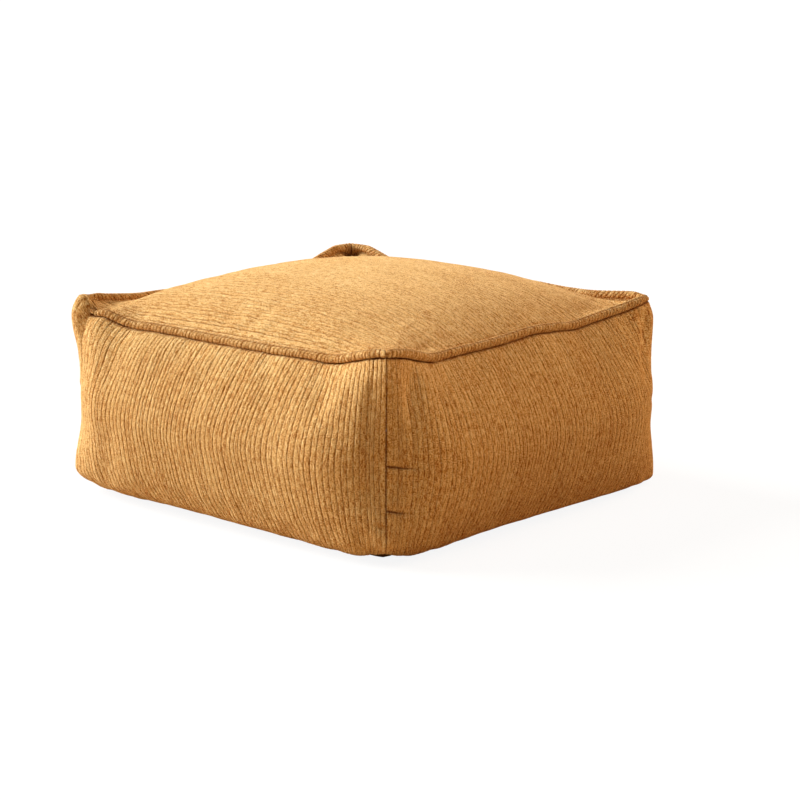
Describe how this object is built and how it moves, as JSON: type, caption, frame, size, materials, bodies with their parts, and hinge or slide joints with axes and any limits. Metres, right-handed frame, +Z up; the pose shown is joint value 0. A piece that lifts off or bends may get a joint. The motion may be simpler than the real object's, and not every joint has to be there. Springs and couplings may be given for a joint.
{
  "type": "floor ottoman",
  "caption": "Low square floor ottoman: a filled box of ribbed cloth with drawn-up corner ears, bulging sides, a domed top and a sewn welt round the top edge.",
  "frame": {"origin": "centre of the base, on the floor", "axes": "+Z up; +X along the side that faces lower left in the picture, towards its near corner; +Y away from that side"},
  "size_m": [0.5257, 0.5256, 0.2498],
  "materials": {
    "ribbed_cloth": "soft fine-ribbed chenille corduroy, ochre",
    "welt_cloth": "the same ribbed cloth, ribs running across the welt",
    "base_cloth": "plain hard-wearing brown cloth"
  },
  "bodies": {
    "root": {"filled_body": "ribbed_cloth", "base_panel": "base_cloth", "welt_front": "welt_cloth", "welt_right": "welt_cloth", "welt_back": "welt_cloth", "welt_left": "welt_cloth"}
  },
  "joints": []
}
